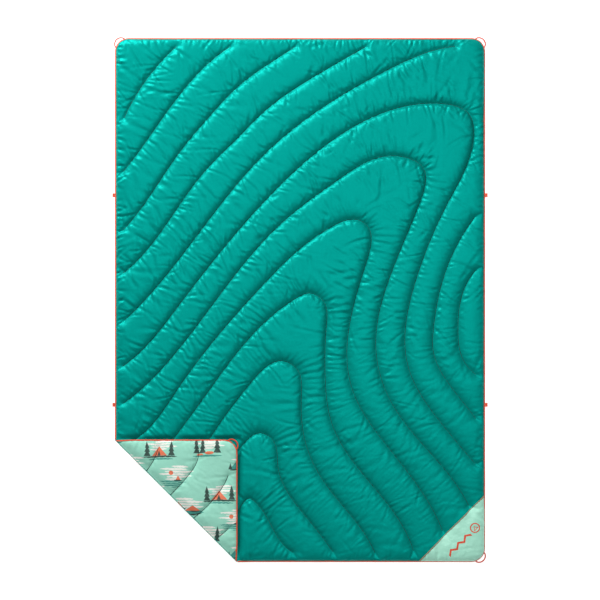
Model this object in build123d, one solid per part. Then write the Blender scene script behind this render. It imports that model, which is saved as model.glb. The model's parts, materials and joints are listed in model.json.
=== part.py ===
from build123d import *
import os
from math import sqrt

# A quilted camp blanket lying flat with one corner folded over onto its face.
# Frame: +Z up, +Y to the head end, +X to the right seen from above,
# origin on the ground under the middle of the blanket.  All lengths in mm.

WIDTH = 1335.0
LENGTH = 1890.0
CORNER_RADIUS = 50.0

LOFT = 20.0             # thickness of the quilt between its stitch lines
EDGE = 5.0              # thickness where the layers enter the edge binding
SLOPE = 25.0            # how far in from the binding the full loft is reached
SHELL = 0.4             # face and back fabric
MIDDLE = LOFT / 2       # height of the edge all round

BINDING_WIDTH = 5.0
BINDING_FABRIC = 0.8
BINDING_STITCH_INSET = 3.5
THREAD = 0.8            # width of a thread seen from above
THREAD_RISE = 0.4       # how far it stands on the fabric

FOLD_LEG = 440.0        # from the square corner to each end of the fold's outer edge
FOLD_LAYER = 3.0        # one layer of quilt pressed flat in the fold
FOLD_TAPER = 40.0       # how far from the fold the quilt is back to its loft
FOLD_GAP = 1.2          # between the blanket's face and the folded corner, with threads on both
GAP = 0.3               # clearance between other bodies that move on each other

PATCH_LEG = 245.0
PATCH_FABRIC = 0.5
PATCH_STITCH_INSET = 3.0

CORD = 3.6              # diameter of the corner loops' cord
LOOP_CHORD = 43.0       # between a loop's two sewn ends
LOOP_RISE = 15.0        # from that chord to the crown of the loop

TAB_OFFSET = 378.0      # tabs on the long sides, either way from the middle
TAB_WIDTH = 14.0
TAB_REACH = 9.0         # beyond the binding
TAB_THICK = 3.0
TAB_WEBBING = 0.9

HALF_WIDTH = WIDTH / 2
HALF_LENGTH = LENGTH / 2
BIG = 3 * LENGTH        # larger than anything that is cut

# Each quilting line is a smooth curve through these points (x, y).
QUILT_LINES = {
    "a": [(-445, 915), (-565, 780), (-635, 655)],
    "b": [(-250, 915), (-380, 805), (-550, 580), (-640, 460)],
    "c": [(-15, 915), (-85, 870), (-230, 765), (-325, 665), (-430, 540), (-605, 290), (-640, 250)],
    "d": [(240, 915), (0, 775), (-130, 680), (-230, 580), (-335, 475), (-600, 130), (-640, 95)],
    "e": [(560, 915), (500, 905), (335, 840), (-130, 525), (-565, -5), (-635, -75)],
    "f": [(-640, -240), (-565, -175), (-450, -35), (-130, 355), (410, 705), (480, 710), (610, 670),
          (620, 550), (540, 365), (420, 80), (390, -240), (510, -445), (635, -595)],
    "g": [(-640, -375), (-530, -280), (-425, -160), (-70, 275), (145, 440), (345, 520), (445, 475),
          (430, 350), (285, -255), (330, -370), (580, -690), (610, -745)],
    "h": [(-605, -510), (-540, -455), (-445, -325), (-120, 70), (105, 260), (220, 285), (240, 270),
          (235, 125), (195, -340), (345, -565), (445, -700), (515, -835)],
    "i": [(-640, -660), (-565, -625), (-460, -505), (-375, -390), (0, 15), (25, 25), (85, -5),
          (95, -95), (90, -240), (115, -445), (370, -815), (410, -905)],
    "j": [(-635, -805), (-570, -790), (-535, -765), (-465, -700), (-330, -505), (-180, -300),
          (-60, -220), (-10, -250), (5, -340), (20, -515), (70, -630), (255, -880), (270, -912)],
    "k": [(-540, -912), (-460, -865), (-225, -545), (-135, -480), (-95, -510), (-80, -595),
          (45, -810), (120, -910)],
    "l": [(-350, -915), (-310, -870), (-220, -755), (-180, -715), (-165, -725), (-95, -830),
          (-25, -910)],
    "m": [(630, 300), (545, 155), (480, -120), (480, -180), (525, -285), (635, -430)],
    "n": [(635, 110), (590, 35), (570, -120), (575, -175), (635, -270)],
}
FOLDED_LINES = "ijkl"   # these run on over the folded corner

# The fold: its axis lies FOLD_RADIUS inside the fold's outer edge, just over
# the face of the quilt, and the folded corner turns about it.
FOLD_RADIUS = FOLD_LAYER + FOLD_GAP / 2
AXIS_LEG = FOLD_LEG + FOLD_RADIUS * sqrt(2)
AXIS_HEIGHT = LOFT + FOLD_GAP / 2
AXIS_START = Vector(-HALF_WIDTH, -HALF_LENGTH + AXIS_LEG, AXIS_HEIGHT)
AXIS_END = Vector(-HALF_WIDTH + AXIS_LEG, -HALF_LENGTH, AXIS_HEIGHT)
FOLD_AXIS = Axis(AXIS_START, AXIS_END - AXIS_START)
# Seen along the fold: x is away from the folded corner, y is up or down, z runs along the axis.
FOLD_PLANE = Plane(
    origin=(AXIS_START + AXIS_END) / 2, x_dir=(1, 1, 0), z_dir=(AXIS_END - AXIS_START).normalized()
)
FOLD_UP = 1 if FOLD_PLANE.y_dir.Z > 0 else -1


def outline(inset):
    """The blanket's outline, a given distance inside its edge."""
    return RectangleRounded(WIDTH - 2 * inset, LENGTH - 2 * inset, CORNER_RADIUS - inset)


def slice_between(sketch, low, high):
    """A sketch in the ground plane made solid between two heights."""
    return Pos(0, 0, low) * extrude(sketch, high - low)


def ring(outer_inset, inner_inset, low, high):
    """A band that follows the blanket's edge."""
    return slice_between(outline(outer_inset) - outline(inner_inset), low, high)


def fold_prism(profile_points):
    """A prism along the fold, from points (away from the folded corner, height)."""
    profile = Polyline(*[(x, FOLD_UP * (z - AXIS_HEIGHT)) for x, z in profile_points], close=True)
    return extrude(FOLD_PLANE * make_face(profile), BIG / 2, both=True)


def fold_side(away):
    """Everything on the main side of the fold (away = 1) or on the corner's side (-1)."""
    near = away * FOLD_GAP / 2
    far = away * BIG
    return fold_prism([(near, -BIG), (far, -BIG), (far, BIG), (near, BIG)])


def lofted_slab(cover):
    """The quilt without its binding: full loft in the middle, thin along the edge.

    cover is how far the surface lies inside the outside of the shell fabric.
    """
    edge_outline = outline(BINDING_WIDTH + cover)
    full_outline = outline(BINDING_WIDTH + SLOPE + cover)
    edge_half = EDGE / 2 - cover
    full_half = MIDDLE - cover
    slab = slice_between(edge_outline, MIDDLE - edge_half, MIDDLE + edge_half)
    for side in (-1, 1):
        slab = slab + loft(
            [Pos(0, 0, MIDDLE + side * edge_half) * edge_outline,
             Pos(0, 0, MIDDLE + side * full_half) * full_outline],
            ruled=True,
        )
    return slab


def fold_notch(cover):
    """The wedge left out of the quilt's back along the fold, where it is pressed thin."""
    apex = LOFT - FOLD_LAYER + cover
    return fold_prism([(-FOLD_TAPER, -1.0), (FOLD_TAPER, -1.0), (0, apex)])


def quilt_layers():
    """Face shell, fill and back shell of the whole blanket, before the corner is folded."""
    outside = lofted_slab(0) - fold_notch(0)
    fill = lofted_slab(SHELL) - fold_notch(SHELL)
    shells = outside - fill
    back_zone = slice_between(outline(0), -1.0, MIDDLE) + fold_notch(SHELL)
    seam_half = EDGE / 2 - BINDING_FABRIC
    face = shells - back_zone + ring(BINDING_FABRIC, BINDING_WIDTH, MIDDLE, MIDDLE + seam_half)
    back = (shells & back_zone) + ring(BINDING_FABRIC, BINDING_WIDTH, MIDDLE - seam_half, MIDDLE)
    return face, fill, back


def edge_binding():
    """The folded tape that closes the raw edge of the three layers."""
    half = EDGE / 2
    seam_half = half - BINDING_FABRIC
    tape = ring(0, BINDING_WIDTH, MIDDLE - half, MIDDLE + half)
    return tape - ring(BINDING_FABRIC, BINDING_WIDTH, MIDDLE - seam_half, MIDDLE + seam_half)


def binding_stitch():
    """The thread along the binding, on its upper and its lower side."""
    inner = BINDING_STITCH_INSET + THREAD
    upper = MIDDLE + EDGE / 2
    lower = MIDDLE - EDGE / 2
    return Part() + [
        ring(BINDING_STITCH_INSET, inner, upper, upper + THREAD_RISE),
        ring(BINDING_STITCH_INSET, inner, lower - THREAD_RISE, lower),
    ]


def quilt_thread(points):
    """The thread of one quilting line, as it lies on the face."""
    return slice_between(trace(Spline(*points), line_width=THREAD), LOFT, LOFT + THREAD_RISE)


def corner_triangle(leg):
    """The triangle across the bottom right corner."""
    corner = (HALF_WIDTH, -HALF_LENGTH)
    up_the_side = (HALF_WIDTH, -HALF_LENGTH + leg)
    along_the_foot = (HALF_WIDTH - leg, -HALF_LENGTH)
    return make_face(Polyline(corner, up_the_side, along_the_foot, close=True))


def corner_patch():
    """The sewn patch over the bottom right corner, and the topstitch along its long side."""
    slab = lofted_slab(0)
    patch_top = Pos(0, 0, PATCH_FABRIC) * slab
    inside = outline(BINDING_WIDTH)
    upper = MIDDLE + EDGE / 2
    patch = (patch_top - slab) & slice_between(corner_triangle(PATCH_LEG) & inside, upper, 2 * LOFT)
    outer_leg = PATCH_LEG - PATCH_STITCH_INSET * sqrt(2)
    line = corner_triangle(outer_leg) - corner_triangle(outer_leg - THREAD * sqrt(2))
    stitch = Pos(0, 0, THREAD_RISE) * patch_top - patch_top
    stitch = stitch & slice_between(line & inside, upper + PATCH_FABRIC, 2 * LOFT)
    return patch, stitch


def corner_loop(side_x, side_y):
    """A cord loop at one corner, with round ends on the chord it swings about."""
    end_reach = CORNER_RADIUS + GAP + CORD / 2
    chord_reach = sqrt(end_reach**2 - (LOOP_CHORD / 2) ** 2)
    ends = [(chord_reach, -LOOP_CHORD / 2), (chord_reach, LOOP_CHORD / 2)]
    path = ThreePointArc(ends[0], (chord_reach + LOOP_RISE, 0), ends[1])
    loop = sweep(Plane(origin=path @ 0, z_dir=path % 0) * Circle(CORD / 2), path=path)
    for end in ends:
        loop = loop + Pos(*end) * Sphere(CORD / 2)
    turn = 45 * side_y if side_x > 0 else 180 - 45 * side_y
    centre = (side_x * (HALF_WIDTH - CORNER_RADIUS), side_y * (HALF_LENGTH - CORNER_RADIUS), MIDDLE)
    return Pos(*centre) * Rot(0, 0, turn) * loop


def side_tab(side_x, side_y):
    """A short folded piece of webbing that stands out of a long side."""
    root = HALF_WIDTH + GAP + TAB_THICK / 2
    tip = HALF_WIDTH + TAB_REACH - TAB_THICK / 2
    flat = SlotCenterToCenter(tip - root, TAB_THICK)
    hollow = SlotCenterToCenter(tip - root, TAB_THICK - 2 * TAB_WEBBING)
    tab = extrude(Plane.XZ * (flat - hollow), TAB_WIDTH / 2, both=True)
    return Pos(side_x * (root + tip) / 2, side_y * TAB_OFFSET, MIDDLE) * tab


def fold_wrap():
    """The pressed layers where they turn round the outside of the fold."""
    roll = FOLD_PLANE * Cylinder(FOLD_RADIUS, BIG)
    half = (-FOLD_GAP / 2, -LOFT)
    outside = fold_prism([(half[0], 0), (half[1], 0), (half[1], 3 * LOFT), (half[0], 3 * LOFT)])
    return roll & outside & slice_between(outline(0), 0, 3 * LOFT)


def fold_over(shape):
    """A piece of the corner, turned over about the fold onto the face of the blanket."""
    return shape.rotate(FOLD_AXIS, 180)


def split_at_fold(name, shape, pieces):
    """Keep the main part of a piece flat, and fold its corner part over."""
    pieces[name] = shape & fold_side(1)
    pieces["corner_" + name] = fold_over(shape & fold_side(-1))


def build():
    """Every piece of the blanket, by name, in its place."""
    pieces = {}
    for name, layer in zip(("face_shell", "fill", "back_shell"), quilt_layers()):
        split_at_fold(name, layer, pieces)
    split_at_fold("edge_binding", edge_binding(), pieces)
    split_at_fold("binding_stitch", binding_stitch(), pieces)
    for letter, points in QUILT_LINES.items():
        name = "quilt_thread_" + letter
        if letter in FOLDED_LINES:
            split_at_fold(name, quilt_thread(points), pieces)
        else:
            pieces[name] = quilt_thread(points)
    pieces["corner_patch"], pieces["patch_topstitch"] = corner_patch()
    pieces["fold_wrap"] = fold_wrap()
    pieces["loop_head_left"] = corner_loop(-1, 1)
    pieces["loop_head_right"] = corner_loop(1, 1)
    pieces["loop_foot_right"] = corner_loop(1, -1)
    pieces["loop_folded_corner"] = fold_over(corner_loop(-1, -1))
    for side_x, side in ((-1, "left"), (1, "right")):
        for side_y, end in ((1, "head"), (-1, "foot")):
            pieces[f"tab_{side}_{end}"] = side_tab(side_x, side_y)
    return pieces


os.makedirs("parts", exist_ok=True)
for node, shape in build().items():
    export_step(shape, f"parts/{node}.step")
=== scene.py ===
"""The camp blanket's looks: quilted nylon, printed lining, binding, stitches, cord loops and tabs."""
import json
from math import atan2, cos, pi, sin, sqrt

import bpy
import numpy as np
from mathutils.kdtree import KDTree
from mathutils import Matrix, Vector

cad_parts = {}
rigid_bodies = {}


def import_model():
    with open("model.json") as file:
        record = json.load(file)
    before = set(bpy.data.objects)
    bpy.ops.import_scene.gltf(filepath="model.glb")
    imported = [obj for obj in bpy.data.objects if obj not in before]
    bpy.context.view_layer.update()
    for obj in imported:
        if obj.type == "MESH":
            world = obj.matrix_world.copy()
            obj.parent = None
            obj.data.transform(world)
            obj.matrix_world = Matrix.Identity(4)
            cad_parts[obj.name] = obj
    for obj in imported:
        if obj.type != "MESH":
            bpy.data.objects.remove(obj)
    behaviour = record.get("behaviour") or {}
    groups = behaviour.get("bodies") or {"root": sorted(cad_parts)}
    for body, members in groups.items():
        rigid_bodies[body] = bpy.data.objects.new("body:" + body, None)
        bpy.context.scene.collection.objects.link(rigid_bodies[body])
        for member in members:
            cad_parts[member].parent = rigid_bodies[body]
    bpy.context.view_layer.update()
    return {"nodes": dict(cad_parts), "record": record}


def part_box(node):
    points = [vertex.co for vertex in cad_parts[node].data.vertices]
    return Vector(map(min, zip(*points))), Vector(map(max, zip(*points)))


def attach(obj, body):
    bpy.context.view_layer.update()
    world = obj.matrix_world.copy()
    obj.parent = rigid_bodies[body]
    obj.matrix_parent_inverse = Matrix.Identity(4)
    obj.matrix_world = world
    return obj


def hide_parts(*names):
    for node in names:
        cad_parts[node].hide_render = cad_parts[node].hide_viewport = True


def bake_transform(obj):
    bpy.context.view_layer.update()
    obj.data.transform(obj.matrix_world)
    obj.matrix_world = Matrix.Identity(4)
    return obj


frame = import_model()
joints = {joint["name"]: joint for joint in frame["record"]["behaviour"]["joints"]}

# ------------ places, from the frame
edge_low, edge_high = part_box("edge_binding")
HALF_WIDTH, HALF_LENGTH = edge_high[0], edge_high[1]
EDGE_LEVEL = (edge_low[2] + edge_high[2]) / 2
CORNER_RADIUS = 0.050  # this and the next as in the CAD
BINDING_WIDTH = 0.005

fold_place = joints["corner_fold"]["pos_m"]
AXIS_LEVEL = fold_place[2]
AXIS_SUM = fold_place[0] + fold_place[1]  # x + y all along the fold's axis
wrap_low, wrap_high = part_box("fold_wrap")
WRAP_RADIUS = (wrap_high[2] - wrap_low[2]) / 2
CREASE_SUM = AXIS_SUM - WRAP_RADIUS * sqrt(2)  # x + y all along the fold's outer edge
patch_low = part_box("corner_patch")[0]
PATCH_LEG = HALF_WIDTH + BINDING_WIDTH - patch_low[0]
loop_low, loop_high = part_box("loop_folded_corner")
CORNER_LEVEL = (loop_low[2] + loop_high[2]) / 2  # height of the folded corner's edge in the frame
CORD_SHOWN = 1.25 * (loop_high[2] - loop_low[2])  # the photo's cord is a little stouter than the CAD's
flap_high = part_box("corner_edge_binding")[1]

# Lengths are in metres, unless a comment says otherwise.
# ------------ the cloth
CELL = 0.00375  # spacing of the cloth's grid
STEPS = 260  # of the simulation
EXCESS = 0.030  # spare cloth between the stitch lines, as a share
FILL_LOFT = 0.021  # height at which the fill stops pushing
PUSH = 0.00011  # of the fill, at each step
DRIFT = 0.90  # share of its speed that the cloth keeps at each step
BEND_REACH = 3  # cells over which the cloth resists bending
BENDING = 0.22
TUCK = 0.0015  # the shells end this far inside the binding's edge
PUFF_TOP = 0.0170  # height the highest channels are brought down to
FLATNESS = 0.86  # below 1 flattens the channels and sharpens the valleys
EDGE_RAMP = 0.011  # the puff reaches its height this far from the edge,
FOLD_RAMP = 0.030  # and this far from the fold, where the two layers have also met
LINE_STEP = 0.001  # between the points of a line read from the frame
SEED = 11

# Creases that start from a border: the ranges of their spacing and of their length, and their depth.
LINE_CREASES = ((0.008, 0.030), (0.020, 0.070), 0.0026)
EDGE_CREASES = ((0.008, 0.024), (0.018, 0.055), 0.0036)
BORDER_CREASE_WIDTH = (0.0030, 0.0058)
# Creases that start anywhere on the cloth: how many, and the ranges of their length, width and depth.
FREE_CREASES = 1200
FREE_CREASE_LENGTH = (0.04, 0.15)
FREE_CREASE_WIDTH = (0.0040, 0.0110)
FREE_CREASE_DEPTH = (0.0006, 0.0030)
CREASE_MARGIN = 0.010  # creases fade out this near a stitch line or the edge
CALM = 0.5  # share by which they are shallower towards the foot's right

# ------------ the folded corner
RISE = 0.050  # distance over which the blanket climbs to its fold
NOSE = 0.014  # depth of the rounded outside of the fold
STRIP = 0.018  # lining this near the fold bends with it
FLAP_PULL = WRAP_RADIUS  # it is drawn this much nearer its fold than in the CAD
FLAP_DROOP = 0.004  # its edge hangs this much lower than in the CAD,
DROOP_REACH = 0.10  # once this far from its cord loop
PRESS_REACH = 0.020  # the blanket is pressed down this far round it
FLAP_PUFF = 0.6  # its share of the blanket's puff
MEETING_LEVEL = 0.0189  # height at which it lies on the blanket
UNDER_FLAP = 0.0008  # clearance kept between the two
FACE_LAP = 0.0015  # its face runs this far past the fold's axis,
LAP_OFFSET = 0.0003  # and this far under the blanket's face once turned flat
GROUND_GAP = 0.0004

# ------------ trim
BINDING_THICK = 0.0044
SEAM_INSET = 0.0035  # of the binding's topstitching
SEAM_WIDTH = 0.0009
FOLD_END = 0.0010  # the binding stops this short of the fold
STITCH_LENGTH = 0.0034
STITCH_GAP = 0.0007
# The quilting thread is drawn wider than the real thread, so that its dark colour also paints the shade of
# the valley beside it.
STITCH_AND_SHADE_WIDTH = 0.0022
PATCH_EDGE = PATCH_LEG - HALF_WIDTH - HALF_LENGTH  # y - x along the patch's long edge
PATCH_LIFT = 0.0006
HEM_WIDTH = 0.0044  # of the sand tape along the patch's long edge
HEM_THICK = 0.0018
LOOP_CHORD = 0.043
LOOP_RISE = 0.015
LOOP_LEG = 0.0045  # each end of a loop runs this far under the binding
WEBBING = 0.0009

# ------------ picture
CAMERA_HEIGHT = 12.0
PICTURE_WIDTH = 2.1642  # what the camera sees at the blanket's level

# ------------ colours (linear) and printed signs (mm)
TEAL = (0.0, 0.292, 0.249)
MINT = (0.320, 0.740, 0.580)
PATCH_MINT = (0.450, 0.920, 0.720)
ORANGE = (0.800, 0.085, 0.030)
CORD_ORANGE = (0.780, 0.050, 0.008)
CREAM = (0.930, 0.940, 0.860)
SUN = (0.820, 0.190, 0.090)
DEEP = (0.050, 0.330, 0.270)
DARK = (0.030, 0.075, 0.060)
SAND = (0.330, 0.230, 0.130)
# Near black: partly the thread's own dark teal, partly painted shade of the quilting valleys.
THREAD_TEAL_AND_VALLEY_SHADE = (0.0, 0.020, 0.018)
PRINT_WIDTH, PRINT_HEIGHT = 430, 316  # mm between repeats of the print, which is half dropped
PRINT_SCALE = 1.7  # size of the scenes, which are drawn about 60 mm wide
PRINT_START = (-463, -619)  # mm, a sun of the print on the folded corner
HILLS_AT, HILLS_LENGTH, HILL_PITCH, HILL_HEIGHT = (572, -876), 105, 35, 13  # mm
RING_AT, RING_RADIUS = (626, -820), 15.5  # mm


def smooth(x):
    """0 below 0, 1 above 1, and a smooth rise between."""
    x = np.clip(x, 0.0, 1.0)
    return x * x * (3 - 2 * x)


# ------------ quilting lines, read from the frame
def key_of(spot):
    """A point's (x, y) in whole micrometres, so that equal places compare equal."""
    return (int(round(spot[0] * 1e6)), int(round(spot[1] * 1e6)))


def outline_of_top(mesh):
    """The closed outline of a flat mesh's top, as ordered (x, y) points."""
    spots = np.array([vertex.co for vertex in mesh.vertices])
    top = spots[:, 2] > spots[:, 2].max() - 1e-5
    uses = {}
    for face in mesh.polygons:
        corners = list(face.vertices)
        if all(top[corner] for corner in corners):
            for a, b in zip(corners, corners[1:] + corners[:1]):
                pair = tuple(sorted((key_of(spots[a]), key_of(spots[b]))))
                uses[pair] = uses.get(pair, 0) + 1
    beside = {}
    for (a, b), count in uses.items():
        if count == 1:
            beside.setdefault(a, []).append(b)
            beside.setdefault(b, []).append(a)
    start = min(beside)
    outline, last, here = [start], start, beside[start][0]
    while here != start:
        outline.append(here)
        last, here = here, next(spot for spot in beside[here] if spot != last)
    return np.array(outline) * 1e-6


def ribbon_line(node):
    """The centre line of a flat thread ribbon, as (x, y) points about 1 mm apart."""
    outline = outline_of_top(node.data)
    closed = np.vstack([outline, outline[:1]])
    walk = resample(closed, LINE_STEP)[:-1]
    half = len(walk) // 2
    # Walking both ways from one of the ribbon's ends, the two walkers never get far apart.
    apart = np.zeros(len(walk))
    for step in np.linspace(0, half - 1, 24).astype(int):
        gap = np.linalg.norm(np.roll(walk, -step, axis=0) - np.roll(walk, step, axis=0), axis=1)
        apart = np.maximum(apart, gap)
    tip = int(np.argmin(apart))
    steps = np.arange(half)
    one_side = walk[(tip + steps) % len(walk)]
    other_side = walk[(tip - steps) % len(walk)]
    return (one_side + other_side) / 2


def resample(points, spacing):
    """A line's points, evenly spaced along it."""
    along = np.concatenate([[0], np.cumsum(np.linalg.norm(np.diff(points, axis=0), axis=1))])
    count = max(2, int(round(along[-1] / spacing)) + 1)
    steps = np.linspace(0, along[-1], count)
    return np.column_stack([np.interp(steps, along, points[:, axis]) for axis in range(points.shape[1])])


def across_fold(places):
    """Places mirrored in the fold's axis: from the folded corner to the flat blanket, or back."""
    return AXIS_SUM - places[..., ::-1]


def quilting_lines():
    """Each quilting line on the flat blanket, keyed by its letter."""
    found = {}
    for name, node in frame["nodes"].items():
        if name.startswith("quilt_thread_"):
            found[name[-1]] = ribbon_line(node)
    for letter, main in found.items():
        folded = frame["nodes"].get("corner_quilt_thread_" + letter)
        if folded:
            part = across_fold(ribbon_line(folded))
            joins = [(np.linalg.norm(a[-1] - b[0]), a, b)
                     for a in (main, main[::-1]) for b in (part, part[::-1])]
            closest = min(joins, key=lambda join: join[0])
            found[letter] = np.vstack(closest[1:])
    return {letter: resample(line, LINE_STEP) for letter, line in found.items()}


lines = quilting_lines()

# ------------ the cloth, simulated flat
# The grid runs over the whole flat blanket: row 0 is the foot, column 0 the left side.
COLUMNS = round(2 * HALF_WIDTH / CELL)
ROWS = round(2 * HALF_LENGTH / CELL)
FOLD_CELLS = round((CREASE_SUM + HALF_WIDTH + HALF_LENGTH) / CELL)
PATCH_CELLS = round(PATCH_LEG / CELL)
GRID_CORNER = np.array([-HALF_WIDTH, -HALF_LENGTH])
CORNER_CENTRE = np.array([HALF_WIDTH - CORNER_RADIUS, HALF_LENGTH - CORNER_RADIUS])


def flat_grid():
    """Where the cloth's grid points lie on the flat blanket, with its corners rounded."""
    x = np.linspace(-HALF_WIDTH, HALF_WIDTH, COLUMNS + 1)
    y = np.linspace(-HALF_LENGTH, HALF_LENGTH, ROWS + 1)
    flat = np.zeros((ROWS + 1, COLUMNS + 1, 2))
    flat[..., 0], flat[..., 1] = np.meshgrid(x, y)
    side = np.sign(flat)
    beyond = np.abs(flat) - CORNER_CENTRE
    in_corner = (beyond > 0).all(axis=-1)
    square = beyond.max(axis=-1)
    round_off = square / np.maximum(np.linalg.norm(beyond, axis=-1), 1e-9)
    rounded = side * (CORNER_CENTRE + beyond * round_off[..., None])
    flat = np.where(in_corner[..., None], rounded, flat)
    return flat * (1 - TUCK / np.array([HALF_WIDTH, HALF_LENGTH]))


def sew(flat):
    """Grid points moved onto the stitch lines, and which points are sewn down."""
    sewn = np.zeros(flat.shape[:2], bool)
    for line in lines.values():
        spots = (line - GRID_CORNER) / CELL
        for across in (0, 1):  # crossings of grid columns, then of rows
            along = 1 - across
            step = np.diff(spots, axis=0)
            steep = np.abs(step[:, across]) >= np.abs(step[:, along])
            whole = np.floor(spots[:, across])
            crossing = np.nonzero((np.diff(whole) != 0) & steep)[0]
            for here in crossing:
                mark = max(whole[here], whole[here + 1])
                share = (mark - spots[here, across]) / step[here, across]
                spot = spots[here] + share * step[here]
                near = np.round(spot).astype(int)
                sewn[near[1], near[0]] = True
                flat[near[1], near[0]] = GRID_CORNER + spot * CELL
    return sewn


def pull(cloth, free, rest, first, second, stiffness):
    """Bring one set of links nearer to their rest lengths."""
    a, b = cloth[first], cloth[second]
    gap = b - a
    length = np.sqrt((gap * gap).sum(axis=-1)) + 1e-9
    weight_a, weight_b = free[first], free[second]
    total = np.maximum(weight_a + weight_b, 1e-6)
    share = (stiffness * (length - rest) / (length * total))[..., None]
    cloth[first] += share * weight_a[..., None] * gap
    cloth[second] -= share * weight_b[..., None] * gap


def links(flat):
    """Every set of links as (first points, second points, rest lengths, stiffness).

    No two links of a set share a point, so that a whole set moves at once.
    """
    rows, columns = flat.shape[:2]
    # (rows down, columns over, stiffness): threads both ways, the bias both ways, and bending both ways
    kinds = ((0, 1, 1.0), (1, 0, 1.0), (1, 1, 0.8), (1, -1, 0.8),
             (0, BEND_REACH, BENDING), (BEND_REACH, 0, BENDING))
    found = []
    for down, over, stiffness in kinds:
        reach = max(down, abs(over))
        sideways = over if down else 0
        left = slice(max(0, -sideways), columns - max(0, sideways))
        right = slice(max(0, sideways), columns + min(0, sideways))
        for phase in range(2 * reach):
            if down:
                count = rows - reach
                first = (rows_of(phase, reach, count), left)
                second = (first[0] + reach, right)
            else:
                count = columns - reach
                first = (slice(None), rows_of(phase, reach, count))
                second = (slice(None), first[1] + reach)
            rest = np.linalg.norm(flat[second] - flat[first], axis=-1) * (1 + EXCESS)
            found.append((first, second, rest.astype(np.float32), stiffness))
    return found


def rows_of(phase, reach, count):
    """Every (2 x reach)th row from phase on: links of that reach from them never share a point."""
    return np.arange(phase, count, 2 * reach)


def puffed_cloth():
    """The shell cloth over its fill, sewn down along the lines and the edge."""
    flat = flat_grid()
    sewn = sew(flat)
    sewn[0] = sewn[-1] = True
    sewn[:, 0] = sewn[:, -1] = True
    free = np.where(sewn, 0.0, 1.0).astype(np.float32)
    dice = np.random.default_rng(SEED)
    cloth = np.zeros(flat.shape[:2] + (3,), np.float32)
    cloth[..., :2] = flat
    cloth[..., 2] = free * (0.0005 + 0.0012 * dice.random(sewn.shape))
    pinned = cloth.copy()
    before = cloth.copy()
    all_links = links(flat)
    normal = np.zeros_like(cloth)
    for step in range(STEPS):
        if step % 4 == 0:
            across = np.roll(cloth, -1, axis=1) - np.roll(cloth, 1, axis=1)
            along = np.roll(cloth, -1, axis=0) - np.roll(cloth, 1, axis=0)
            normal = np.cross(across, along)
            normal /= np.linalg.norm(normal, axis=-1, keepdims=True) + 1e-12
        push = PUSH * np.clip(1 - cloth[..., 2:] / FILL_LOFT, -1, 1) * free[..., None]
        drift = (cloth - before) * DRIFT
        before = cloth.copy()
        cloth = cloth + drift + push * normal
        for first, second, rest, stiffness in all_links:
            pull(cloth, free, rest, first, second, stiffness)
        cloth[..., 2] = np.maximum(cloth[..., 2], 0.0)
        cloth[sewn] = pinned[sewn]
    return flat, cloth.astype(float), sewn


def room_to_move(flat):
    """How far each grid point is from its nearest stitch line and, up to the corner radius, from the edge."""
    spots = np.vstack([line[::3] for line in lines.values()])
    tree = KDTree(len(spots))
    for index, (x, y) in enumerate(spots):
        tree.insert((x, y, 0), index)
    tree.balance()
    places = flat.reshape(-1, 2)
    nearest = [tree.find((x, y, 0)) for x, y in places]
    to_line = np.array([found[2] for found in nearest]).reshape(flat.shape[:2])
    beyond = np.maximum(np.abs(flat) - CORNER_CENTRE, 0)
    to_edge = CORNER_RADIUS - np.linalg.norm(beyond, axis=-1)
    return to_line, np.maximum(to_edge - TUCK, 0)


def press_crease(height, start, direction, length, width, depth, bend, fade_in):
    """Press one tapering crease, with a soft ridge each side, into a height field."""
    end = start + direction * length
    margin = 3.5 * width + abs(bend) * length
    low = np.floor((np.minimum(start, end) - margin - GRID_CORNER) / CELL).astype(int)
    high = np.ceil((np.maximum(start, end) + margin - GRID_CORNER) / CELL).astype(int) + 1
    columns = slice(max(low[0], 0), min(high[0], COLUMNS + 1))
    rows = slice(max(low[1], 0), min(high[1], ROWS + 1))
    offset = flat[rows, columns] - start
    along = (offset @ direction) / length
    across = offset @ np.array([-direction[1], direction[0]]) - bend * length * along * along
    shape = np.clip(along / fade_in, 0, 1) * np.clip(1 - along, 0, 1) ** 0.8
    spread = width * (0.7 + 0.6 * np.clip(along, 0, 1))
    across = across / spread
    valley = -np.exp(-across * across) + 0.55 * np.exp(-(np.abs(across) - 1.9) ** 2)
    height[rows, columns] += depth * shape * valley


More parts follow.
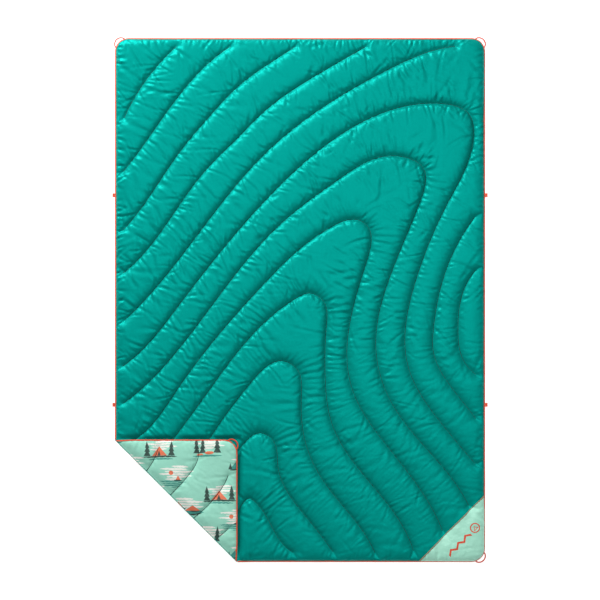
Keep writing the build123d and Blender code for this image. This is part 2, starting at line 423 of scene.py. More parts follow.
def creases():
    """Height of the creases that run out from the stitch lines and the edge, and across the channels."""
    dice = np.random.default_rng(SEED + 1)
    height = np.zeros(flat.shape[:2])

    def from_border(points, side, gap, reach, depth):
        """Creases on one side of a line, whose points are LINE_STEP apart."""
        room = len(points) * LINE_STEP
        steps = np.cumsum(dice.uniform(*gap, size=int(room / gap[0]) + 1))
        for spot in (steps[steps < room - 0.004] / LINE_STEP).astype(int):
            before, after = max(spot - 8, 0), min(spot + 8, len(points) - 1)
            tangent = points[after] - points[before]
            tangent = tangent / np.linalg.norm(tangent)
            lean = dice.normal(0, 0.50)
            away = side * np.array([-tangent[1], tangent[0]])
            direction = away * cos(lean) + tangent * sin(lean)
            long = dice.random() < 0.25
            length = dice.uniform(*reach) * (1.7 if long else 1.0)
            press_crease(height, points[spot], direction, length, dice.uniform(*BORDER_CREASE_WIDTH),
                         depth * dice.uniform(0.2, 1.25), bend=dice.normal(0, 0.14), fade_in=0.10)

    for line in lines.values():
        from_border(line, 1, *LINE_CREASES)
        from_border(line, -1, *LINE_CREASES)
    edge = np.array([(-HALF_WIDTH, -HALF_LENGTH), (HALF_WIDTH, -HALF_LENGTH), (HALF_WIDTH, HALF_LENGTH),
                     (-HALF_WIDTH, HALF_LENGTH), (-HALF_WIDTH, -HALF_LENGTH)])
    from_border(resample(edge, LINE_STEP), 1, *EDGE_CREASES)
    down, over = np.gradient(to_line)
    for _ in range(FREE_CREASES):
        row, column = dice.integers(0, ROWS), dice.integers(0, COLUMNS)
        away = atan2(down[row, column], over[row, column]) + dice.normal(0, 0.6)
        direction = np.array([cos(away), sin(away)])
        length = dice.uniform(*FREE_CREASE_LENGTH)
        press_crease(height, flat[row, column] - direction * length / 2, direction, length,
                     dice.uniform(*FREE_CREASE_WIDTH), dice.uniform(*FREE_CREASE_DEPTH),
                     bend=dice.normal(0, 0.15), fade_in=0.35)
    return height


flat, cloth, sewn = puffed_cloth()
to_line, to_edge = room_to_move(flat)
freedom = smooth(np.minimum(to_line, to_edge) / CREASE_MARGIN)
rounded = PUFF_TOP * (cloth[..., 2] / cloth[..., 2].max()) ** FLATNESS
toward_foot_right = flat[..., 0] / HALF_WIDTH - flat[..., 1] / HALF_LENGTH
slack = 1 - CALM * smooth(toward_foot_right / 1.4)
puff = np.maximum(rounded + creases() * freedom * slack, 0.0) * smooth(to_edge / EDGE_RAMP)

# ------------ from the flat blanket to the folded one
FLAP_RIGHT = flap_high[0] - FLAP_PULL / sqrt(2)
FLAP_TOP = flap_high[1] - FLAP_PULL / sqrt(2)
FOLD_NORMAL = CREASE_SUM / sqrt(2)  # the fold's place along the (1, 1) diagonal
ROLL = 2 * WRAP_RADIUS - FLAP_PULL  # cloth taken up by the roll of the fold


def soft_limit(rise, room):
    """A rise that nears, but never reaches, the room there is for it."""
    return room * rise / (rise + room + 1e-9)


def fold_distance(flat, plan):
    """Each grid point's distance from the fold, exactly 0 on the grid's own diagonal there."""
    row, column = np.mgrid[: flat.shape[0], : flat.shape[1]]
    by_count = (row + column - FOLD_CELLS) * CELL / sqrt(2)
    by_place = plan.sum(axis=-1) / sqrt(2) - FOLD_NORMAL
    far = smooth(np.abs(by_count) / 0.06)  # 0 at the fold, 1 from 60 mm on
    return by_count * (1 - far) + by_place * far


def along_fold(plan):
    """Each point's place along the fold."""
    return (plan[..., 1] - plan[..., 0]) / sqrt(2)


def plan_at(distance, along):
    """(x, y) at a distance in from the fold's outside and a place along it."""
    normal = FOLD_NORMAL + distance
    return np.stack([(normal - along) / sqrt(2), (normal + along) / sqrt(2)], axis=-1)


def nose(distance, height):
    """The rounded outside of the fold."""
    share = np.clip(distance / NOSE, 0, 1)
    return AXIS_LEVEL + (height - AXIS_LEVEL) * np.sqrt(1 - (1 - share) ** 2)


def from_axis(height, distance, reach=RISE):
    """A height that starts at the fold's axis and is its own from that reach on."""
    return AXIS_LEVEL + (height - AXIS_LEVEL) * smooth(distance / reach)


def main_level(distance):
    """Height of the blanket's mid plane, which climbs to the fold."""
    return from_axis(EDGE_LEVEL, distance)


def flap_level(distance, plan):
    """Height of the folded corner's mid plane: it droops, except at its cord loop."""
    corner = np.array([FLAP_RIGHT, FLAP_TOP])
    droop = FLAP_DROOP * smooth(np.linalg.norm(plan - corner, axis=-1) / DROOP_REACH)
    return from_axis(CORNER_LEVEL - droop, distance)


def face_place(distance, along, puff):
    """The blanket's upper face, pressed down where the folded corner lies on it."""
    inside = distance + WRAP_RADIUS * (1 - smooth(distance / RISE))
    plan = plan_at(inside, along)
    level = main_level(distance)
    outside = np.maximum(plan[..., 0] - FLAP_RIGHT, plan[..., 1] - FLAP_TOP)
    pressed = 1 - smooth(outside / PRESS_REACH)
    ceiling = from_axis(MEETING_LEVEL - UNDER_FLAP / 2, distance, FOLD_RAMP)
    height = level + (1 - pressed) * puff + pressed * soft_limit(puff, ceiling - level)
    return np.concatenate([plan, height[..., None]], axis=-1)


def back_place(distance, along, puff):
    """The blanket's underside, flattened where it lies on the ground."""
    height = np.maximum(main_level(distance) - puff, GROUND_GAP)
    return np.concatenate([plan_at(distance, along), nose(distance, height)[..., None]], axis=-1)


def lining_place(distance, along, puff):
    """The lining of the folded corner, which lies uppermost."""
    far = smooth(distance / RISE)
    plan = plan_at(distance + ROLL * far, along)
    height = flap_level(distance, plan) + puff
    return np.concatenate([plan, nose(distance, height)[..., None]], axis=-1)


def underside_place(distance, along, puff):
    """The face cloth of the folded corner, which lies on the blanket's own."""
    far = smooth(distance / RISE)
    plan = plan_at(distance + ROLL * far + (WRAP_RADIUS - FACE_LAP) * (1 - far), along)
    level = flap_level(distance, plan)
    lowest = from_axis(MEETING_LEVEL + UNDER_FLAP / 2, distance, FOLD_RAMP)
    height = level - soft_limit(puff, np.maximum(level - lowest, 0))
    height += LAP_OFFSET * (1 - smooth(distance / (2 * FACE_LAP)))
    return np.concatenate([plan, height[..., None]], axis=-1)


# ------------ meshes
def band_faces(low, high, mirrored=False):
    """Faces of the grid between two diagonals: row + column from low to high.

    Mirrored, the columns are counted from the right. Faces wind anticlockwise from above.
    """
    width = COLUMNS + 1
    row, column = np.mgrid[:ROWS, :COLUMNS]
    total = row + column

    def point(down, over):
        across = COLUMNS - (column + over) if mirrored else column + over
        return (row + down) * width + across

    near, right, left, beyond = point(0, 0), point(0, 1), point(1, 0), point(1, 1)
    faces = []
    for corners, wanted in (
        ((near, right, beyond, left), (total >= low) & (total + 2 <= high)),
        ((right, beyond, left), (total + 1 == low) & (total + 2 <= high)),
        ((near, right, left), (total + 1 == high) & (total >= low)),
    ):
        if mirrored:
            corners = corners[::-1]
        faces += np.stack([corner[wanted] for corner in corners], axis=-1).tolist()
    return faces


def new_object(name, data, place=(0, 0, 0)):
    """An object in the scene, at a place."""
    made = bpy.data.objects.new(name, data)
    made.location = place
    bpy.context.collection.objects.link(made)
    return made


def mesh_piece(name, spots, faces, material, flat_spots=None, flipped=False):
    """A shaded mesh from points and faces, with unused points left out."""
    if flipped:
        faces = [face[::-1] for face in faces]
    used = np.zeros(len(spots), bool)
    used[np.fromiter((corner for face in faces for corner in face), int)] = True
    renumber = np.cumsum(used) - 1
    mesh = bpy.data.meshes.new(name)
    mesh.from_pydata(spots[used].tolist(), [], [[int(renumber[corner]) for corner in face] for face in faces])
    mesh.shade_smooth()
    mesh.materials.append(material)
    if flat_spots is not None:
        places = mesh.attributes.new("cut", "FLOAT_VECTOR", "POINT")
        kept = flat_spots[used]
        places.data.foreach_set("vector", np.column_stack([kept, np.zeros(len(kept))]).ravel())
    return new_object(name, mesh)


def wobble(count, spacing, reach, dice):
    """A smooth random run of numbers, for gathers along an edge."""
    knots = dice.normal(0, 1, count // spacing + 3)
    return reach * np.interp(np.arange(count), np.arange(len(knots)) * spacing, knots)


def unit(vectors):
    """Each row as a vector of length 1."""
    return vectors / np.linalg.norm(vectors, axis=1, keepdims=True)


def sweep(path, half_width, half_height, sides=10, ends=0.5):
    """Points and faces of a flattened tube along a path. Its ends taper to the given share."""
    count = len(path)
    tangent = unit(np.gradient(path, axis=0))
    side = unit(np.column_stack([tangent[:, 1], -tangent[:, 0], np.zeros(count)]))
    up = np.cross(side, tangent)
    wide = np.broadcast_to(half_width, (count,)).copy()
    high = np.broadcast_to(half_height, (count,)).copy()
    for tip in (0, -1):
        wide[tip] *= ends
        high[tip] *= ends
    turn = np.linspace(0, 2 * pi, sides, endpoint=False)
    ring = (path[:, None] + side[:, None] * (wide[:, None] * np.cos(turn))[..., None]
            + up[:, None] * (high[:, None] * np.sin(turn))[..., None])
    start = (np.arange(count - 1) * sides)[:, None]
    here = np.arange(sides)
    after = (here + 1) % sides
    faces = np.stack([start + here, start + sides + here, start + sides + after, start + after], axis=-1)
    faces = faces.reshape(-1, 4).tolist()
    faces.append(list(range(sides)))
    faces.append(list(range(count * sides - 1, (count - 1) * sides - 1, -1)))
    return ring.reshape(-1, 3), faces


def joined(parts):
    """Several (points, faces) lists as one."""
    spots, faces, start = [], [], 0
    for part_spots, part_faces in parts:
        spots.append(part_spots)
        faces += [[corner + start for corner in face] for face in part_faces]
        start += len(part_spots)
    return np.vstack(spots), faces


def stitches(path, lift, width=STITCH_AND_SHADE_WIDTH):
    """Points and faces of a row of stitches, whose ends dive into the cloth."""
    fine = 0.0005
    path = resample(path, fine)
    per_stitch = round(STITCH_LENGTH / fine)
    pitch = per_stitch + max(1, round(STITCH_GAP / fine))
    share = np.array([0.0, 0.25, 0.75, 1.0])
    rise = np.array([-0.6, 1.0, 1.0, -0.6]) * lift
    parts = []
    for start in range(0, len(path) - per_stitch, pitch):
        spots = path[start + (share * per_stitch).astype(int)].copy()
        spots[:, 2] += rise
        parts.append(sweep(spots, width / 2, width / 2, sides=6, ends=0.6))
    return joined(parts)


# ------------ materials
class Field:
    """A number worked out at each point of a surface, so that patterns read as plain sums."""

    def __init__(self, tree, socket):
        self.tree = tree
        self.socket = socket

    def apply(self, operation, *others, clamp=False):
        node = self.tree.nodes.new("ShaderNodeMath")
        node.operation = operation
        node.use_clamp = clamp
        for place, value in enumerate((self,) + others):
            if isinstance(value, Field):
                self.tree.links.new(value.socket, node.inputs[place])
            else:
                node.inputs[place].default_value = value
        return Field(self.tree, node.outputs[0])

    def __add__(self, other):
        return self.apply("ADD", other)

    def __sub__(self, other):
        return self.apply("SUBTRACT", other)

    def __mul__(self, other):
        return self.apply("MULTIPLY", other)

    def __truediv__(self, other):
        return self.apply("DIVIDE", other)

    def size(self):
        return self.apply("ABSOLUTE")

    def both(self, other):
        return self.apply("MINIMUM", other)

    def either(self, other):
        return self.apply("MAXIMUM", other)

    def edge(self, soft=0.8):
        """1 where the number is above 0, fading to 0 below it."""
        return self.apply("MULTIPLY_ADD", 1 / soft, 0.5, clamp=True)


def new_material(name, colour, roughness, **settings):
    """A Principled material, its tree and its shader node."""
    material = bpy.data.materials.new(name)
    material.use_nodes = True
    tree = material.node_tree
    shader = tree.nodes["Principled BSDF"]
    settings |= {"base_color": (*colour, 1), "roughness": roughness}
    for socket, value in settings.items():
        shader.inputs[socket.replace("_", " ").title().replace("Ior", "IOR")].default_value = value
    return material, tree, shader


def cut_place(tree):
    """Where each point lies on the cut cloth: as a vector in metres, and x and y fields in millimetres."""
    place = tree.nodes.new("ShaderNodeAttribute")
    place.attribute_name = "cut"
    apart = tree.nodes.new("ShaderNodeSeparateXYZ")
    tree.links.new(place.outputs["Vector"], apart.inputs[0])
    x, y = Field(tree, apart.outputs["X"]) * 1000, Field(tree, apart.outputs["Y"]) * 1000
    return place.outputs["Vector"], x, y


def noise(tree, vector, scale, detail=2.0):
    """A noise field, about 0.5 on average."""
    node = tree.nodes.new("ShaderNodeTexNoise")
    node.inputs["Scale"].default_value = scale
    node.inputs["Detail"].default_value = detail
    tree.links.new(vector, node.inputs["Vector"])
    return Field(tree, node.outputs[0])


def add_bump(tree, shader, field, distance):
    """Raise the surface's shading by a field, whose 1 is that distance in metres."""
    bump = tree.nodes.new("ShaderNodeBump")
    bump.inputs["Strength"].default_value = 1.0
    bump.inputs["Distance"].default_value = distance
    tree.links.new(field.socket, bump.inputs["Height"])
    tree.links.new(bump.outputs[0], shader.inputs["Normal"])


def layered(tree, shader, base, layers):
    """Paint colours over a base, each where its field is 1."""
    colour = None
    for paint, where in layers:
        mix = tree.nodes.new("ShaderNodeMix")
        mix.data_type = "RGBA"
        tree.links.new(where.socket, mix.inputs["Factor"])
        if colour:
            tree.links.new(colour, mix.inputs["A"])
        else:
            mix.inputs["A"].default_value = (*base, 1)
        mix.inputs["B"].default_value = (*paint, 1)
        colour = mix.outputs["Result"]
    tree.links.new(colour, shader.inputs["Base Color"])


def ripstop(x, y, pitch=5.0):
    """A plain weave with a stouter thread every few millimetres."""
    fine = (x * (2 * pi / 0.6)).apply("SINE") * (y * (2 * pi / 0.6)).apply("SINE") * 0.3
    ribs = ((x / pitch).apply("FRACT") - 0.5).size().either(((y / pitch).apply("FRACT") - 0.5).size())
    return fine + (ribs - 0.46).edge(0.03)


def shell_cloth():
    """Teal ripstop nylon with a satin calender finish."""
    material, tree, shader = new_material("shell_teal", TEAL, 0.49, metallic=0.32, specular_ior_level=0.6,
                                          specular_tint=(0.02, 1.0, 0.88, 1))
    place, x, y = cut_place(tree)
    add_bump(tree, shader, ripstop(x, y) * 0.05 + noise(tree, place, 45, 3.0), distance=0.0011)
    return material


def printed_lining():
    """Mint lining printed with small outdoor scenes: sun, clouds, boat, tent, pines and hills."""
    material, tree, shader = new_material("lining_mint", MINT, 0.55)
    place, x, y = cut_place(tree)
    shake = (noise(tree, place, 130) - 0.5) * 9

    def motif_place(at_x, at_y):
        """x and y from the nearest repeat of a motif, whose repeats are half dropped."""
        across, down = (x - at_x) / PRINT_WIDTH, (y - at_y) / PRINT_HEIGHT
        first = across + down
        second = across - down
        first = first - first.apply("ROUND")
        second = second - second.apply("ROUND")
        across, down = first + second, first - second
        return across * (PRINT_WIDTH / 2 / PRINT_SCALE), down * (PRINT_HEIGHT / 2 / PRINT_SCALE)

    def disc(u, v, at_x, at_y, radius):
        du, dv = u - at_x, v - at_y
        return ((du * du + dv * dv).apply("SQRT") * -1 + radius).edge()

    def brush(u, v, at_x, at_y, half_length, half_width):
        """A ragged, tapering brush stroke."""
        du, dv = (u - at_x) / half_length, (v + shake * 0.35 - at_y) / half_width
        return ((du * du + dv * dv) * -1 + 1.0 + shake * 0.07).edge(0.2)

    def triangle(u, v, at_x, foot, half_width, height):
        """A triangle that stands on its foot."""
        rise = (v - foot) / height
        slope = ((u - at_x).size() / half_width + rise) * -1 + 1
        return (slope * half_width).both(v - foot).edge()

    def any_of(shapes):
        found = shapes[0]
        for shape in shapes[1:]:
            found = found.either(shape)
        return found

    def clouds(u, v, at_x, at_y, width, rows):
        """Rows of ragged strokes, shorter towards the top and the bottom."""
        strokes = []
        for row in range(rows):
            share = (row + 0.5) / rows * 2 - 1
            half = width / 2 * sqrt(1 - share * share)
            shift = width * (0.10 if row % 2 else -0.10)
            strokes.append(brush(u, v, at_x + shift, at_y + share * rows * 2.6, half, 2.1))
        return any_of(strokes)

    layers = []

    def paint(colour, where):
        layers.append((colour, where))

    def sun_scene(at_x, at_y):
        u, v = motif_place(at_x, at_y)
        water = [brush(u, v, 0, -17, 24, 1.3), brush(u, v, 8, -21, 26, 1.4), brush(u, v, 4, -25, 20, 1.3),
                 brush(u, v, 12, -29, 12, 1.1)]
        paint(CREAM, clouds(u, v, 12, 0, 62, 6))
        paint(SUN, disc(u, v, 0, 0, 4.5))
        paint(DEEP, any_of(water))
        paint(SUN, triangle(u, v, 14, -14, 5, 9))
        paint(DARK, brush(u, v, 14, -15, 9, 1.5))

    def tent_scene(at_x, at_y):
        u, v = motif_place(at_x, at_y)
        paint(CREAM, clouds(u, v, 4, 8, 58, 4))
        trunks = [triangle(u, v, side, -13 + step, 7 - step * 0.16, 14)
                  for side in (-27, 26) for step in (0, 8, 16)]
        paint(DARK, any_of(trunks + [brush(u, v, 0, -15, 36, 2.0)]))
        paint(SUN, triangle(u, v, 0, -13, 17, 20))
        paint(DARK, triangle(u, v, 0, -13, 4, 12))
        paint(DEEP, brush(u, v, 3, -20, 26, 1.6))

    def pine_scene(at_x, at_y):
        u, v = motif_place(at_x, at_y)
        paint(CREAM, clouds(u, v, 8, 4, 56, 5))
        pines = [triangle(u, v, side, -16 + step, 8 - step * 0.2, 15)
                 for side in (-20, -6, 24) for step in (0, 9, 18)]
        paint(DARK, any_of(pines))
        paint(SUN, any_of([brush(u, v, 8, -16, 9, 3.2), brush(u, v, -12, -19, 8, 2.2)]))
        paint(DEEP, brush(u, v, 2, -22, 32, 1.8))

    def hill_scene(at_x, at_y):
        u, v = motif_place(at_x, at_y)
        paint(CREAM, clouds(u, v, 4, 6, 60, 5))
        paint(DEEP, any_of([triangle(u, v, -14, -14, 22, 24), triangle(u, v, 14, -14, 26, 18)]))
        paint(SUN, any_of([triangle(u, v, -14, 0, 9, 10), triangle(u, v, 14, -7, 16, 11)]))
        paint(DARK, any_of([brush(u, v, -8, -2, 9, 1.3), brush(u, v, 18, -8, 10, 1.3)]))
        paint(DARK, any_of([brush(u, v, 0, -15, 34, 2.2), triangle(u, v, -34, -14, 4, 13)]))

    hill_scene(PRINT_START[0] + 54, PRINT_START[1] - 122)
    pine_scene(PRINT_START[0] - 89, PRINT_START[1] - 62)
    sun_scene(*PRINT_START)
    tent_scene(PRINT_START[0] - 41, PRINT_START[1] + 82)
    layered(tree, shader, MINT, layers)
    add_bump(tree, shader, ripstop(x, y) * 0.04 + noise(tree, place, 50, 3.0), distance=0.0012)
    return material


def patch_cloth():
    """Plain mint satin with a generic sign: a zigzag of hills, and a tent in a ring."""
    material, tree, shader = new_material("patch_mint", PATCH_MINT, 0.42, specular_ior_level=0.6)
    place, x, y = cut_place(tree)

    def sign_place(at_x, at_y):
        """Distances from a place, along the patch's long edge and square to it."""
        along = (x + y) * sqrt(0.5) - (at_x + at_y) * sqrt(0.5)
        return along, (y - x) * sqrt(0.5) - (at_y - at_x) * sqrt(0.5)

    u, v = sign_place(*HILLS_AT)
    wave = ((u / HILL_PITCH).apply("FRACT") - 0.5).size() * (2 * HILL_HEIGHT) - HILL_HEIGHT / 2
    zigzag = ((v - wave).size() * -1 + 4.2).both(u.size() * -1 + HILLS_LENGTH / 2).edge()
    ring_u, ring_v = sign_place(*RING_AT)
    reach = (ring_u * ring_u + ring_v * ring_v).apply("SQRT")
    ring = ((reach - RING_RADIUS).size() * -1 + 2.0).edge()
    tent_edge = ((ring_u.size() * 1.3 + ring_v - 5).size() * -1 + 2.0).both(ring_v + 6).edge()
    foot = ((ring_v + 6).size() * -1 + 1.3).both(ring_u.size() * -1 + 9).edge()
    layered(tree, shader, PATCH_MINT, [(ORANGE, zigzag), (ORANGE, ring), (ORANGE, tent_edge.either(foot))])
    add_bump(tree, shader, ripstop(x, y) * 0.01 + noise(tree, place, 24, 3.0), distance=0.0050)
    return material


def woven_tape(name, colour, scale=900):
    """Woven nylon tape or cord: a fine bump over one colour."""
    material, tree, shader = new_material(name, colour, 0.6)
    inside = tree.nodes.new("ShaderNodeTexCoord")
    add_bump(tree, shader, noise(tree, inside.outputs["Object"], scale), distance=0.0001)
    return material


shell_material = shell_cloth()
lining_material = printed_lining()
patch_material = patch_cloth()
tape_material = woven_tape("binding_orange", ORANGE)
cord_material = woven_tape("cord_orange", CORD_ORANGE, 1400)
webbing_material = woven_tape("webbing_orange", ORANGE, 1200)
# The quilting thread's near-black colour is partly painted shade of the stitch valleys.
thread_and_valley_shade_material = new_material("thread_dark", THREAD_TEAL_AND_VALLEY_SHADE, 0.6)[0]
orange_thread_material = new_material("thread_orange", ORANGE, 0.6)[0]
sand_thread_material = new_material("thread_sand", SAND, 0.6)[0]


# ------------ the quilt
spots = cloth[..., :2]
distance = fold_distance(flat, spots)
along = along_fold(spots)
cut = flat.reshape(-1, 2)
print_cut = across_fold(flat).reshape(-1, 2)  # so that the print is upright on the folded corner
near_fold = smooth(np.abs(distance) / FOLD_RAMP)
strip_cells = round(STRIP * sqrt(2) / CELL)
last_diagonal = ROWS + COLUMNS
main_puff, flap_puff = puff * near_fold, puff * near_fold * FLAP_PUFF


def quilt_face():
    """The blanket's teal face, with the fill inside it."""
    places = face_place(distance, along, main_puff).reshape(-1, 3)
    piece = mesh_piece("quilt_face", places, band_faces(FOLD_CELLS, last_diagonal), shell_material, cut)
    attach(piece, "blanket")
    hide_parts("face_shell", "fill")


def quilt_back():
    """The blanket's lining, underneath."""
    places = back_place(distance, along, main_puff).reshape(-1, 3)
    faces = band_faces(FOLD_CELLS + strip_cells, last_diagonal)
    piece = mesh_piece("quilt_back", places, faces, lining_material, print_cut, flipped=True)
    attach(piece, "blanket")
    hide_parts("back_shell")


def folded_corner():
    """The folded corner: its lining on top, and its teal face cloth and fill below."""
    places = lining_place(-distance, along, flap_puff).reshape(-1, 3)
    faces = band_faces(0, FOLD_CELLS - strip_cells)
    lining = mesh_piece("corner_lining", places, faces, lining_material, print_cut, flipped=True)
    places = underside_place(-distance, along, flap_puff).reshape(-1, 3)
    face = mesh_piece("corner_face", places, band_faces(0, FOLD_CELLS), shell_material, cut)
    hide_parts("corner_back_shell", "corner_fill")
    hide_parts("corner_face_shell")
    for piece, finish in ((lining, "lining_mint"), (face, "shell_teal")):
        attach(piece, "folded_corner")


def fold_strip():
    """The lining round the fold, shaped between the blanket's underside and the folded corner's lining."""
    main = back_place(distance, along, main_puff)
    turned = lining_place(-distance, along, flap_puff)
    places = np.where((distance >= 0)[..., None], main, turned).reshape(-1, 3)
    faces = band_faces(FOLD_CELLS - strip_cells, FOLD_CELLS)
    faces += band_faces(FOLD_CELLS, FOLD_CELLS + strip_cells)
    piece = mesh_piece("fold_strip", places, faces, lining_material, print_cut, flipped=True)
    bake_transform(piece)
    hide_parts("fold_wrap")


# ------------ binding and stitches
def edge_line(inset):
    """The blanket's edge laid flat, so far inside it, as a closed loop from the foot's left end."""
    radius = CORNER_RADIUS - inset
    points = []
    for quarter, side in enumerate(((1, -1), (1, 1), (-1, 1), (-1, -1))):
        turn = np.linspace(-pi / 2, 0, 16) + quarter * pi / 2
        points.append(CORNER_CENTRE * side + radius * np.column_stack([np.cos(turn), np.sin(turn)]))
    points.append(points[0][:1])
    return resample(np.vstack(points), 0.003)


def split_at_fold(line):
    """The stretches of a flat line on the blanket and on the folded corner, as (distance, along)."""
    distance = line.sum(axis=1) / sqrt(2) - FOLD_NORMAL
    along = along_fold(line)
    stretches = {"blanket": [], "folded_corner": []}
    for body, on_body in (("blanket", distance > FOLD_END), ("folded_corner", distance < -FOLD_END)):
        switches = np.nonzero(np.diff(on_body.astype(int)))[0] + 1
        for part in np.split(np.arange(len(line)), switches):
            if on_body[part[0]] and len(part) > 4:
                stretches[body].append((np.abs(distance[part]), along[part]))
    return stretches


def edge_place(body, distance, along):
    """Mid plane of the edge of the blanket or of the folded corner."""
    if body == "blanket":
        plan = plan_at(distance, along)
        return np.column_stack([plan, main_level(distance)])
    plan = plan_at(distance + ROLL * smooth(distance / RISE), along)
    return np.column_stack([plan, flap_level(distance, plan)])


def closed_at_fold(line):
    """A closed line, started at a point on the folded corner's side, well away from the fold."""
    start = int(np.argmin(line.sum(axis=1)))
    return np.roll(line[:-1], -start, axis=0)


def binding():
    """The folded tape round the edge, in one length for each body, and its topstitching."""
    dice = np.random.default_rng(SEED + 2)
    middle = split_at_fold(closed_at_fold(edge_line(BINDING_WIDTH / 2)))
    seam = split_at_fold(closed_at_fold(edge_line(SEAM_INSET)))
    for body, node, seam_node in (("blanket", "edge_binding", "binding_stitch"),
                                  ("folded_corner", "corner_edge_binding", "corner_binding_stitch")):
        parts = []
        for stretch in middle[body]:
            path = edge_place(body, *stretch)
            thick = BINDING_THICK / 2 * (1 + wobble(len(path), 5, 0.10, dice))
            parts.append(sweep(path, BINDING_WIDTH / 2, thick, sides=12))
        piece = mesh_piece(node.replace("edge_", "") + "_tape", *joined(parts), tape_material)
        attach(piece, body)
        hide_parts(node)
        rows = []
        for stretch in seam[body]:
            path = edge_place(body, *stretch)
            path[:, 2] += BINDING_THICK / 2 * 0.88
            rows.append(stitches(path, 0.0004, SEAM_WIDTH))
        thread = mesh_piece(seam_node + "ing", *joined(rows), orange_thread_material)
        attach(thread, body)
        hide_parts(seam_node)


def quilting():
    """The stitches of every quilting line: on the face, and on the lining of the folded corner."""
    for letter, line in lines.items():
        stretches = split_at_fold(line)
        for body, prefix in (("blanket", "quilt_thread_"), ("folded_corner", "corner_quilt_thread_")):
            rows = []
            for away, along in stretches[body]:
                place = face_place if body == "blanket" else lining_place
                path = place(away, along, np.zeros(len(away)))
                rows.append(stitches(path, 0.0007))
                if body == "folded_corner":
                    under = underside_place(away, along, np.zeros(len(away)))
                    rows.append(stitches(under, -0.0007))
            node = prefix + letter
            if rows and node in frame["nodes"]:
                # These stitches, wide and near black, also paint the valley's shade along the line.
                piece = mesh_piece(node + "_stitches", *joined(rows), thread_and_valley_shade_material)
                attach(piece, body)
                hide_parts(node)


# ------------ corner patch
def corner_patch():
    """The satin patch over the foot's right corner, with a sand topstitch along its long edge."""
    mirrored = spots[..., 0] * -1
    inside = (PATCH_EDGE - (mirrored + spots[..., 1])) / sqrt(2)
    lift = PATCH_LIFT * smooth(inside / 0.004)
    places = face_place(distance, along, main_puff)
    places[..., 2] += lift + 0.0005
    faces = band_faces(0, PATCH_CELLS, mirrored=True)
    piece = mesh_piece("corner_patch_cloth", places.reshape(-1, 3), faces, patch_material, cut)
    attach(piece, "blanket")
    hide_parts("corner_patch")
    steps = np.arange(1, PATCH_CELLS)
    edge = places[PATCH_CELLS - steps, COLUMNS - steps]
    inward = np.array([1, -1, 0]) / sqrt(2)
    hem_points = edge + inward * 0.0016
    tape = sweep(hem_points, HEM_WIDTH / 2, HEM_THICK / 2, sides=8)
    hem = mesh_piece("patch_hem", *tape, sand_thread_material)
    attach(hem, "blanket")
    seam = hem_points + np.array([0, 0, HEM_THICK / 2])
    thread = mesh_piece("patch_stitches", *stitches(seam, 0.0004, 0.0010), sand_thread_material)
    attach(thread, "blanket")
    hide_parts("patch_topstitch")


# ------------ cord loops and tabs
def cord_loops():
    """A cord loop at each corner, both its ends tucked under the binding."""
    for name, joint in joints.items():
        if not name.startswith("loop_swing"):
            continue
        root = np.array(joint["pos_m"])
        if joint["parent"] == "folded_corner":
            root[:2] -= FLAP_PULL / sqrt(2)
        chord = np.array(joint["axis"])
        outward = np.cross(chord, (0, 0, 1))
        node = joint["child"]
        low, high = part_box(node)
        crown = (np.array(low) + np.array(high)) / 2
        if np.dot(crown - root, outward) < 0:
            outward = -outward
        half = LOOP_CHORD / 2
        radius = (half ** 2 + LOOP_RISE ** 2) / (2 * LOOP_RISE)
        sweep_angle = 2 * np.arcsin(half / radius)
        turn = np.linspace(-sweep_angle / 2, sweep_angle / 2, 61)
        across = radius * np.sin(turn)
        out = radius * np.cos(turn) - (radius - LOOP_RISE)
        legs = np.linspace(LOOP_LEG, 0.001, 5)[:, None] * -outward
        arc = root + across[:, None] * chord + out[:, None] * outward
        path = np.vstack([arc[0] + legs, arc, arc[-1] + legs[::-1]])
        shape = sweep(path, CORD_SHOWN / 2, CORD_SHOWN / 2, sides=16, ends=0.8)
        piece = mesh_piece(node + "_cord", *shape, cord_material)
        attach(piece, node)
        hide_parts(node)


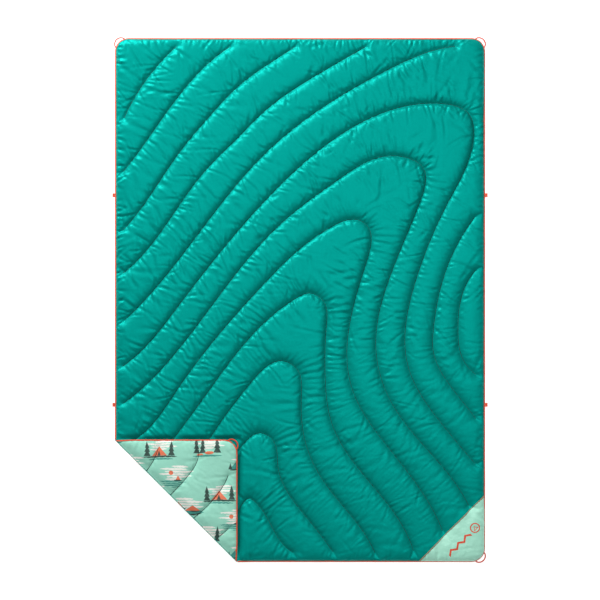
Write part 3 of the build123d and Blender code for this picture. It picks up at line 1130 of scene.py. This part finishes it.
def tabs():
    """Small webbing tabs, folded in half, out from under the binding of the long sides."""
    for node in [name for name in frame["nodes"] if name.startswith("tab_")]:
        low, high = (np.array(corner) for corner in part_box(node))
        side = np.sign(low[0])
        root = low[0] if side > 0 else high[0]
        reach = high[0] - low[0]
        radius = (high[2] - low[2] - WEBBING) / 2
        level = (low[2] + high[2]) / 2
        turn = np.linspace(-pi / 2, pi / 2, 9)
        out = np.concatenate([[0], reach - WEBBING / 2 - radius + radius * np.cos(turn), [0]])
        up = np.concatenate([[-radius * 0.6], radius * np.sin(turn), [radius * 0.6]])
        profile = np.column_stack([out, up])
        onward = np.gradient(profile, axis=0)
        normal = unit(np.column_stack([onward[:, 1], -onward[:, 0]]))
        outline = np.vstack([profile + normal * WEBBING / 2, (profile - normal * WEBBING / 2)[::-1]])
        across = np.linspace(low[1], high[1], 8)
        x, z = root + side * outline[:, 0], level + outline[:, 1]
        rings = [np.column_stack([x, np.full(len(outline), y), z]) for y in across]
        count = len(outline)
        here = np.arange(count)
        after = (here + 1) % count
        faces = []
        for ring in range(len(rings) - 1):
            faces += np.stack([ring * count + here, ring * count + after, (ring + 1) * count + after,
                               (ring + 1) * count + here], axis=-1).tolist()
        half = count // 2
        for ring in (0, len(rings) - 1):
            start = ring * count
            last = start + count - 1
            for step in range(half - 1):
                faces.append([start + step, start + step + 1, last - step - 1, last - step])
        piece = mesh_piece(node + "_webbing", np.vstack(rings), faces, webbing_material)
        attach(piece, node)
        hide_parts(node)


quilt_face()
quilt_back()
folded_corner()
fold_strip()
binding()
quilting()
corner_patch()
cord_loops()
tabs()


# ------------ floor, light and camera
def floor():
    """A plain near-white floor for the blanket to lie on."""
    glow = {"emission_color": (1, 1, 1, 1), "emission_strength": 0.7}
    material = new_material("floor_white", (0.85, 0.85, 0.85), 0.9, specular_ior_level=0.0, **glow)[0]
    bpy.ops.mesh.primitive_plane_add(size=80, location=(0, 0, 0))
    ground = bpy.context.object
    ground.name = "floor"
    ground.data.materials.append(material)


def lamp(name, place, power, size):
    """A soft square lamp that faces the blanket's middle."""
    data = bpy.data.lights.new(name, "AREA")
    data.energy = power
    data.size = size
    track = new_object(name, data, place).constraints.new("TRACK_TO")
    track.target = new_object(name + "_aim", None)
    track.track_axis = "TRACK_NEGATIVE_Z"
    track.up_axis = "UP_Y"


def studio():
    """A key light from the head's left, a fill, and a white world."""
    lamp("key", (-1.8, 3.3, 1.9), power=168, size=1.0)
    lamp("top", (0.4, 0.3, 3.4), power=34, size=1.4)
    world = bpy.data.worlds.new("studio")
    world.use_nodes = True
    background = world.node_tree.nodes["Background"]
    background.inputs["Color"].default_value = (1, 1, 1, 1)
    background.inputs["Strength"].default_value = 0.30
    bpy.context.scene.world = world
    bpy.context.scene.view_settings.view_transform = "Standard"


def camera():
    """A long lens straight above, with the blanket's head at the top of the picture."""
    data = bpy.data.cameras.new("camera")
    data.sensor_width = 36
    data.lens = 36 * CAMERA_HEIGHT / PICTURE_WIDTH
    data.clip_end = 50
    bpy.context.scene.camera = new_object("camera", data, (0, 0, CAMERA_HEIGHT + EDGE_LEVEL))


floor()
studio()
camera()
